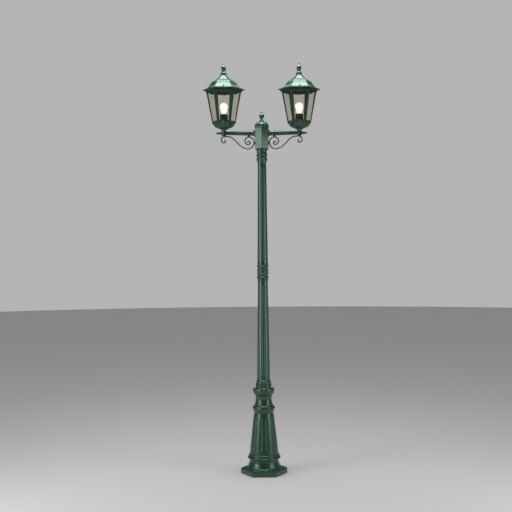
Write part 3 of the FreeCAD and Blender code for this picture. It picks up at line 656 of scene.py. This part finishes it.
def cage_frame():
    """Six tapering frames joined at their corners: outer and inner skin with the window reveals."""
    points = []
    inner = [(r - CAGE_WALL / COS30 - (CAGE_LIP if k > 3 else 0), z) for k, (r, z) in enumerate(CAGE_LEVELS)]
    for skin in (CAGE_LEVELS, inner):
        for (radius, z), half in zip(skin, WINDOW_HALVES):
            for face in range(SIX):
                a, b = math.radians(60 * face), math.radians(60 * face + 60)
                first = Vector((radius * math.cos(a), radius * math.sin(a), SEAT_Z + z))
                last = Vector((radius * math.cos(b), radius * math.sin(b), SEAT_Z + z))
                middle = (first + last) / 2
                along = (last - first).normalized()
                points += [first, middle - along * half, middle + along * half]
    count = 3 * SIX
    levels = len(CAGE_LEVELS)
    faces = []
    for skin in range(2):
        for level in range(levels - 1):
            for k in range(count):
                if k % 3 == 1 and level == WINDOW_BAND:
                    continue
                here = (skin * levels + level) * count
                after = (k + 1) % count
                faces.append((here + k, here + after, here + count + after, here + count + k))
    inside = levels * count
    for level in (0, levels - 1):
        for k in range(count):
            a, b = level * count + k, level * count + (k + 1) % count
            faces.append((a, b, inside + b, inside + a))
    for face in range(SIX):
        low = WINDOW_BAND * count + 3 * face
        loop = [low + 1, low + 2, low + count + 2, low + count + 1]
        for a, b in zip(loop, loop[1:] + loop[:1]):
            faces.append((a, b, inside + b, inside + a))
    return make_object("frame", points, faces, 20)


def box_object(name, low, high):
    """Box between two corners."""
    points = [(x, y, z) for z in (low[2], high[2]) for y in (low[1], high[1]) for x in (low[0], high[0])]
    faces = [(0, 1, 3, 2), (4, 5, 7, 6), (0, 1, 5, 4), (2, 3, 7, 6), (0, 2, 6, 4), (1, 3, 7, 5)]
    return make_object(name, points, faces)


def make_cages(finish):
    """Both cages with the three lugs that the roof screws press on."""
    for side in SIDES:
        frame_part = cage_frame()
        rounded_edges(frame_part, 1.0, 3, 20)
        pieces = [frame_part]
        for k in range(3):
            for low, high in LUG_BOXES:
                lug = box_object("lug", low, high)
                rounded_edges(lug, 0.8, 2)
                lug.data.transform(Matrix.Rotation(math.radians(30 + 120 * k), 4, "Z"))
                pieces.append(lug)
        piece = merged("cage_frame_" + side, pieces)
        piece.data.transform(Matrix.Translation((axis_x(side) * MM, 0, 0)))
        dress(piece, finish, "post", "green_paint", "cage_" + side)


# ---------------------------------------------------------------- valances
FRET_TOP = 169.2                # above the cage's seat
FRET_HALF = 34.6
FRET_BAND = 1.4                 # depth between the lobes
# middle, half width and drop of each lobe
FRET_LOBES = [(-27.7, 6.9, 4.0), (-13.7, 7.0, 5.4), (0.0, 6.8, 8.4), (13.7, 7.0, 5.4), (27.7, 6.9, 4.0)]


def fret_bottom(u):
    """Depth of the scalloped lower edge below the top, across a window."""
    depth = FRET_BAND
    for middle, half, drop in FRET_LOBES:
        t = abs(u - middle) / half
        if t < 1:
            point = 0.28 if middle == 0 else 0.0
            depth = max(depth, drop * ((1 - t ** 2) ** 0.5 * (1 - point) + (1 - t) * point))
    return depth


def fret(azimuth):
    """Scalloped plate at the top of one window, with a raised edge and veins."""
    columns, rows = 84, 16
    top_flat = outer_radius(FRET_TOP + CUP_PROFILE[-1][1]) * COS30
    slope = CAGE_LEAN * COS30
    front, back = [], []
    for i in range(rows + 1):
        for j in range(columns + 1):
            u = FRET_HALF * (2 * j / columns - 1)
            depth = fret_bottom(u)
            down = depth * i / rows
            lobe = 0
            if depth > FRET_BAND:
                lobe = max(math.cos(math.pi * (u - m) / (2 * h)) for m, h, _ in FRET_LOBES)
            edge = 0.5 * bump(depth - down, 0.9, 0.8)
            vein = 0.4 * abs(math.cos(math.pi * (u / 5.2))) * smoothstep(1.0, 3, down)
            flat = top_flat - down * slope - 1.0
            z = SEAT_Z + FRET_TOP - down
            front.append((flat + edge + vein * (0.4 + 0.6 * abs(lobe)), u, z))
            back.append((flat - 1.6, u, z))
    stride = columns + 1
    count = len(front)
    faces = []
    for i in range(rows):
        for j in range(columns):
            a = i * stride + j
            faces.append((a, a + 1, a + stride + 1, a + stride))
            faces.append((count + a, count + a + stride, count + a + stride + 1, count + a + 1))
    edge = list(range(stride)) + [i * stride + columns for i in range(1, rows + 1)]
    edge += [rows * stride + j for j in range(columns - 1, -1, -1)]
    edge += [i * stride for i in range(rows - 1, 0, -1)]
    for a, b in zip(edge, edge[1:] + edge[:1]):
        faces.append((b, a, count + a, count + b))
    turn = Matrix.Rotation(math.radians(azimuth), 3, "Z")
    return make_object("fret", [turn @ Vector(p) for p in front + back], faces, 50)


def make_frets(finish):
    """Six plates in each lantern."""
    for side in SIDES:
        piece = merged("valance_" + side, [fret(60 * k + 30) for k in range(SIX)])
        piece.data.transform(Matrix.Translation((axis_x(side) * MM, 0, 0)))
        dress(piece, finish, "post", "green_paint", "frets_" + side)


# ---------------------------------------------------------------- scrolls
# from the column's axis, height from the arm's axis
SCROLL_LINE = [(197.5, -37), (193.5, -42), (196, -48), (204, -50), (213, -45), (216.8, -35), (213.5, -24),
               (204, -17.5), (185, -17.2), (167, -20), (148, -33.5), (132, -50), (116, -65), (96, -78.5),
               (73, -83.5), (54.5, -77), (43.5, -62), (41.6, -44), (50, -28), (67, -21), (83, -26),
               (90, -40), (86, -54), (74, -61.5), (63.5, -56), (62.5, -47.5), (69.5, -43), (75, -47)]
ROD_R = 3.2


def scroll_bar():
    """Round bar bent into an S, thinner towards its curled ends, each closed by a small ball."""
    line = smooth_line(SCROLL_LINE, 9)
    sides = 18
    rings = []
    last = len(line) - 1
    for k, (x, z) in enumerate(line):
        before, after = line[max(0, k - 1)], line[min(last, k + 1)]
        run = Vector((after[0] - before[0], 0, after[1] - before[1])).normalized()
        across = Vector((run.z, 0, -run.x))
        near_end = min(k, last - k)
        radius = ROD_R * (0.82 + 0.18 * smoothstep(0, 30, near_end))
        ring = []
        for s in range(sides):
            a = 2 * math.pi * s / sides
            point = Vector((x, 0, ARM_Z + z)) + across * (radius * math.cos(a))
            ring.append((point.x, radius * math.sin(a), point.z))
        rings.append(ring)
    return ring_object("bar", rings, wrap=False, sharp=70)


def ball(radius, x, z):
    """Small ball end."""
    mesh = bpy.data.meshes.new("ball")
    work = bmesh.new()
    bmesh.ops.create_uvsphere(work, u_segments=20, v_segments=14, radius=radius * MM)
    work.to_mesh(mesh)
    work.free()
    mesh.polygons.foreach_set("use_smooth", [True] * len(mesh.polygons))
    mesh.transform(Matrix.Translation((x * MM, 0, z * MM)))
    piece = bpy.data.objects.new("ball", mesh)
    bpy.context.scene.collection.objects.link(piece)
    return piece


def turned(name, outline, sides=40, sharp=40):
    """Closed solid of revolution through (radius, height) points, round the upright axis."""
    rings = []
    for radius, z in outline:
        ring = []
        for k in range(sides):
            a = 2 * math.pi * k / sides
            ring.append((radius * math.cos(a), radius * math.sin(a), z))
        rings.append(ring)
    return ring_object(name, rings, True, sharp)


def make_scrolls(finish):
    """Both scrolls, with the eye under the lantern, the lug under the arm and the pad on the head."""
    x = axis_x("right")
    for side in SIDES:
        eye_z = ARM_Z - 19
        eye = turned("eye", [(2.8, eye_z), (8.2, eye_z), (9.0, eye_z + 1), (9.0, eye_z + 6), (8.4, eye_z + 7),
                             (2.8, eye_z + 7)])
        eye.data.transform(Matrix.Translation(((x - 1) * MM, 0, 0)))
        ends = [ball(4.1, px, ARM_Z + pz) for px, pz in (SCROLL_LINE[0], SCROLL_LINE[-1])]
        lug = box_object("lug", (62, -5, ARM_Z - 21), (74, 5, ARM_Z - 16))
        pad = box_object("pad", (HEAD_FLAT, -4, ARM_Z - 61), (41.5, 4, ARM_Z - 45))
        for part in (lug, pad):
            rounded_edges(part, 1.0)
        piece = merged("scroll_bar_" + side, [scroll_bar(), eye, lug, pad] + ends)
        if side == "left":
            piece.data.transform(Matrix.Scale(-1, 4, (1, 0, 0)))
            piece.data.flip_normals()
        dress(piece, finish, "post", "green_paint", "scroll_" + side)


# ---------------------------------------------------------------- head
# share of the rim's width, and height above the box
CAP_DOME = [(0.36, 33), (0.44, 32.5), (0.57, 30.6), (0.69, 27.6), (0.785, 24), (0.865, 20), (0.92, 16),
            (0.963, 11), (0.99, 6), (0.998, 3.5)]
BOX_WALL = 5.8


def make_head(finish):
    """Six-sided box with soft corners, and a pillowed cap with a bead over a shadow line."""
    # flat distance, height and fillet of the corners
    shell = [(HEAD_FLAT - 1.6, HEAD_LOW, 2.4), (HEAD_FLAT - 0.5, HEAD_LOW + 0.8, 2.4),
             (HEAD_FLAT, HEAD_LOW + 2.6, 2.4), (HEAD_FLAT, HEAD_HIGH - 1.2, 2.4),
             (HEAD_FLAT - 1, HEAD_HIGH, 2.4), (HEAD_FLAT - BOX_WALL, HEAD_HIGH, 2),
             (HEAD_FLAT - BOX_WALL, HEAD_LOW + 6, 2), (14, HEAD_LOW + 6, 2), (14, HEAD_LOW, 2)]
    box = ring_object("head_shell", [soft_hexagon(f, z, r, 30) for f, z, r in shell], sharp=30)
    dress(box, finish, "post", "green_paint", "head_box")
    rim = low_high("head_cap")[1].x
    outline = [(3.4, CAP_HIGH), (13, CAP_HIGH)]
    outline += smooth_line([(rim * share, HEAD_HIGH + z) for share, z in CAP_DOME], 4)
    outline += [(rim, HEAD_HIGH + 2), (rim - 0.6, HEAD_HIGH + 0.6), (rim - 1.4, HEAD_HIGH + 0.2),
                (30.2, HEAD_HIGH + 0.2), (30.2, HEAD_HIGH + 13), (20, HEAD_HIGH + 24), (3.4, HEAD_HIGH + 24)]
    rings = []
    for flat, z in outline:
        fillet = min(0.75 * flat, 3 + 14 * smoothstep(HEAD_HIGH + 12, CAP_HIGH, z))
        rings.append(soft_hexagon(flat, z, fillet, 30))
    cap = ring_object("head_pillow_cap", rings, sharp=45)
    dress(cap, finish, "post", "green_paint", "head_cap")


# ---------------------------------------------------------------- build
set_camera()
set_studio()
finishes = make_materials()
paint_frame(finishes)
relief_paint = green_paint("green_paint_relief", False)
make_roofs(relief_paint)
make_cups(relief_paint)
make_cages(relief_paint)
make_frets(relief_paint)
make_scrolls(relief_paint)
make_head(relief_paint)
